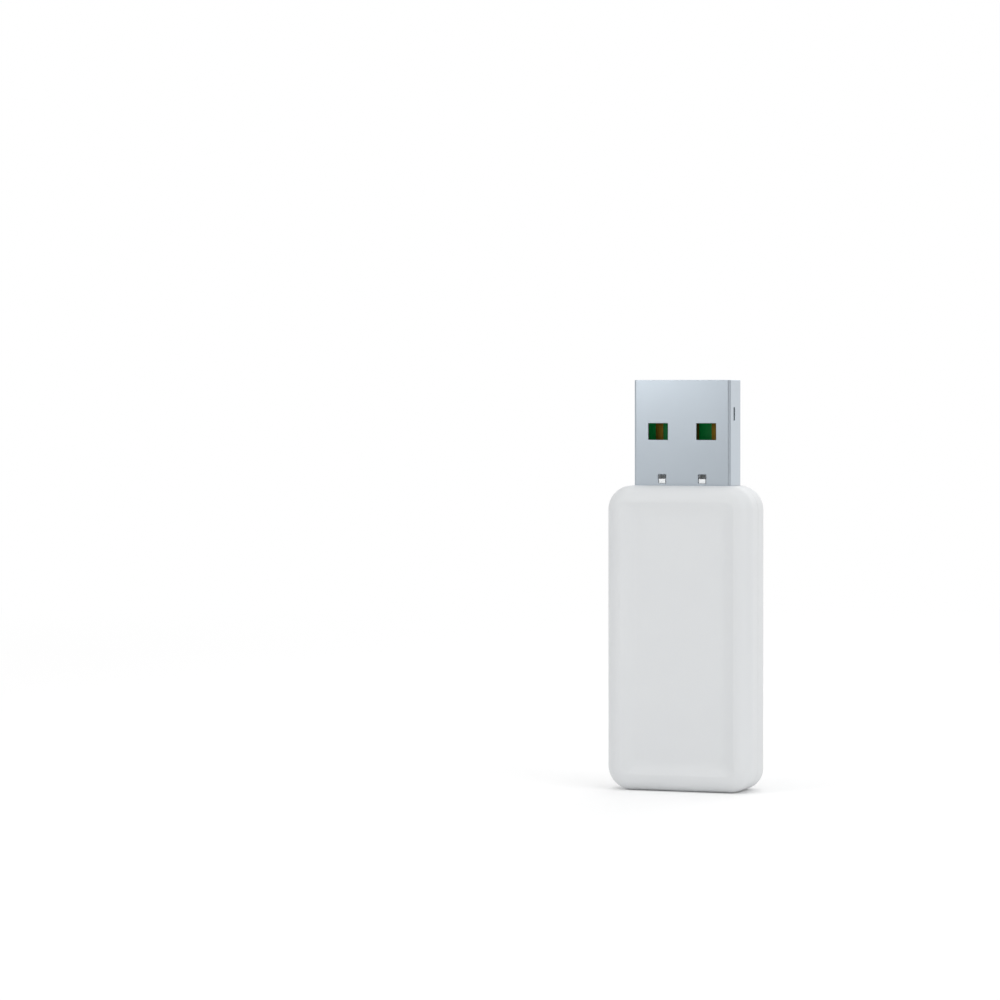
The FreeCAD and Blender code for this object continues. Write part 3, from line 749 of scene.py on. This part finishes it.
slot_materials = {
    "carrier": nylon,
    "board": resist,
    "gold": gold,
    "antenna_strip": bronze,
    "shield_steel": tinplate,
    "chip": epoxy,
    "crystal_can": lid,
    "capacitor": tan_ceramic,
    "resistor": glaze,
    "inductor": blue_ceramic,
    "ceramic_antenna": white_ceramic,
    "fuse": fuse_laminate,
}

front_housing()
rear_housing()
plug_sleeve()

for subpart in frame["record"]["subparts"]:
    if subpart["material_slot"] in slot_materials:
        node = frame["nodes"][subpart["node"]]
        node.material_slots[0].material = slot_materials[subpart["material_slot"]]


# Camera, fitted to the photograph's edges: where it stands in millimetres, and how it is turned in degrees

view_place = (139.505, -446.606, 48.027)
view_yaw = 20.084
view_pitch = 1.631
view_roll = -0.081
view_focal_px = 3907.7
frame_px = 1000
sensor_width = 36.0

camera_data = bpy.data.cameras.new("camera")
camera_data.sensor_width = sensor_width
camera_data.lens = view_focal_px / frame_px * sensor_width
camera_data.clip_start = 0.01
camera_data.clip_end = 20
camera = bpy.data.objects.new("camera", camera_data)
camera.location = [part * mm for part in view_place]
turned = Matrix.Rotation(math.radians(view_yaw), 3, "Z")
tilted = Matrix.Rotation(math.radians(90 - view_pitch), 3, "X")
levelled = Matrix.Rotation(math.radians(view_roll), 3, "Z")
camera.rotation_euler = (turned @ tilted @ levelled).to_euler()
bpy.context.scene.collection.objects.link(camera)
bpy.context.scene.camera = camera


# Floor and light


def studio_floor():
    """Seamless pale floor, wide enough to run past the frame from every side"""
    bm = bmesh.new()
    bmesh.ops.create_grid(bm, x_segments=1, y_segments=1, size=floor_half)
    mesh = bpy.data.meshes.new("studio_floor")
    bm.to_mesh(mesh)
    bm.free()
    floor = bpy.data.objects.new("studio_floor", mesh)
    bpy.context.scene.collection.objects.link(floor)
    mesh.materials.append(studio_paper())


def seen_directly(tree):
    """One where the camera, a shine or something clear looks, and nought for the light that falls"""
    rays = add(tree, "ShaderNodeLightPath").outputs
    shine = {0: rays["Is Camera Ray"], 1: rays["Is Glossy Ray"]}
    metal = add(tree, "ShaderNodeMath", links=shine, operation="MAXIMUM")
    clear = {0: metal.outputs["Value"], 1: rays["Is Transmission Ray"]}
    return add(tree, "ShaderNodeMath", links=clear, operation="MAXIMUM").outputs["Value"]


def studio_white(tree, way):
    """Strength of the white studio in a direction: full as seen, dimmer in front where a shine mirrors it"""
    glossy = add(tree, "ShaderNodeLightPath").outputs["Is Glossy Ray"]
    behind = add(tree, "ShaderNodeVectorMath", {1: back_side}, {0: way}, operation="DOT_PRODUCT")
    level = add(
        tree,
        "ShaderNodeMapRange",
        {"From Min": back_fade[0], "From Max": back_fade[1], "To Min": front_light, "To Max": 1.0},
        {"Value": behind.outputs["Value"]},
        interpolation_type="SMOOTHSTEP",
    )
    aside = add(tree, "ShaderNodeVectorMath", {1: dark_side}, {0: way}, operation="DOT_PRODUCT")
    shade = add(
        tree,
        "ShaderNodeMapRange",
        {"From Min": dark_fade[0], "From Max": dark_fade[1], "To Min": 1.0, "To Max": dark_light},
        {"Value": aside.outputs["Value"]},
        interpolation_type="SMOOTHSTEP",
    )
    both = {0: level.outputs["Result"], 1: shade.outputs["Result"]}
    mirrored_white = add(tree, "ShaderNodeMath", links=both, operation="MULTIPLY")
    ends = {"Value": glossy, "To Max": mirrored_white.outputs["Value"]}
    return add(tree, "ShaderNodeMapRange", {"To Min": 1.0}, ends).outputs["Result"]


def studio_paper():
    """White paper that takes the stick's shadow and fades into the white behind it"""
    material, tree, place, surface = start_material("studio_paper")
    surface.inputs["Base Color"].default_value = linear(paper_tone)
    surface.inputs["Roughness"].default_value = 0.9
    surface.inputs["Specular IOR Level"].default_value = 0.1
    seen = seen_directly(tree)
    away = add(tree, "ShaderNodeVectorMath", links={0: place}, operation="LENGTH")
    far = add(
        tree,
        "ShaderNodeMapRange",
        {"From Min": paper_fade[0], "From Max": paper_fade[1]},
        {"Value": away.outputs["Value"]},
        interpolation_type="SMOOTHSTEP",
    )
    share = add(tree, "ShaderNodeMath", links={0: far.outputs["Result"], 1: seen}, operation="MULTIPLY")
    lift = add(tree, "ShaderNodeMath", {1: paper_lift}, {0: seen}, operation="MULTIPLY")
    glow = add(tree, "ShaderNodeEmission", links={"Strength": lift.outputs["Value"]})
    near = add(tree, "ShaderNodeAddShader", links={0: surface.outputs["BSDF"], 1: glow.outputs["Emission"]})
    way = add(tree, "ShaderNodeVectorMath", links={0: place}, operation="NORMALIZE").outputs["Vector"]
    white = add(tree, "ShaderNodeEmission", links={"Strength": studio_white(tree, way)})
    both = {0: share.outputs["Value"], 1: near.outputs["Shader"], 2: white.outputs["Emission"]}
    paper = add(tree, "ShaderNodeMixShader", links=both)
    end = next(node for node in tree.nodes if node.type == "OUTPUT_MATERIAL")
    tree.links.new(paper.outputs["Shader"], end.inputs["Surface"])
    return material


def softbox(name, place, size, power, aim=(0, 0, 0.03), shine_only=False):
    """Square lamp with soft edges to its shadows, or one that is only mirrored"""
    data = bpy.data.lights.new(name, "AREA")
    data.shape = "SQUARE"
    data.size = size
    data.energy = power
    lamp = bpy.data.objects.new(name, data)
    lamp.location = place
    lamp.rotation_euler = (Vector(aim) - Vector(place)).to_track_quat("-Z", "Y").to_euler()
    lamp.visible_camera = False
    lamp.visible_diffuse = not shine_only
    bpy.context.scene.collection.objects.link(lamp)


def studio_air():
    """White surroundings, softer as light than they look"""
    world = bpy.data.worlds.new("studio_air")
    world.use_nodes = True
    tree = world.node_tree
    tree.nodes.clear()
    way = add(tree, "ShaderNodeTexCoord").outputs["Object"]
    ends = {"Value": seen_directly(tree), "To Max": studio_white(tree, way)}
    strength = add(tree, "ShaderNodeMapRange", {"To Min": air_light}, ends).outputs["Result"]
    air = add(tree, "ShaderNodeBackground", {"Color": (1, 1, 1, 1)}, {"Strength": strength})
    add(tree, "ShaderNodeOutputWorld", links={"Surface": air.outputs["Background"]})
    bpy.context.scene.world = world


# The paper's half size, its tone, the glow that makes up for its nearness, and how far off it fades to white
floor_half = 6
paper_tone = "#FAFAFA"
paper_lift = 0.06
paper_fade = (0.1, 0.4)
air_light = 0.66
# How much of the white a shine mirrors: all of it from behind, less from the front, and least from the dark
# side, to the right of the camera; each level fades into the next as the direction turns
back_side = (0, 1, 0)
back_fade = (-0.3, 0.6)
front_light = 0.56
dark_side = (0.906, -0.423, 0)
dark_fade = (0.4, 0.9)
dark_light = 0.35

studio_floor()
studio_air()
softbox("key", (-0.45, -0.55, 0.4), size=0.35, power=0.7)
softbox("fill", (0.6, -0.35, 0.3), size=0.5, power=1.15)
softbox("top", (0.05, -0.03, 0.6), size=0.5, power=0.85)
softbox("back", (0.0, 0.6, 0.35), size=0.5, power=0.7)
softbox("sheen", (-0.0305, -0.07, 0.063), size=0.024, power=0.005, aim=(0, 0, 0.045), shine_only=True)

bpy.context.scene.view_settings.view_transform = "Standard"
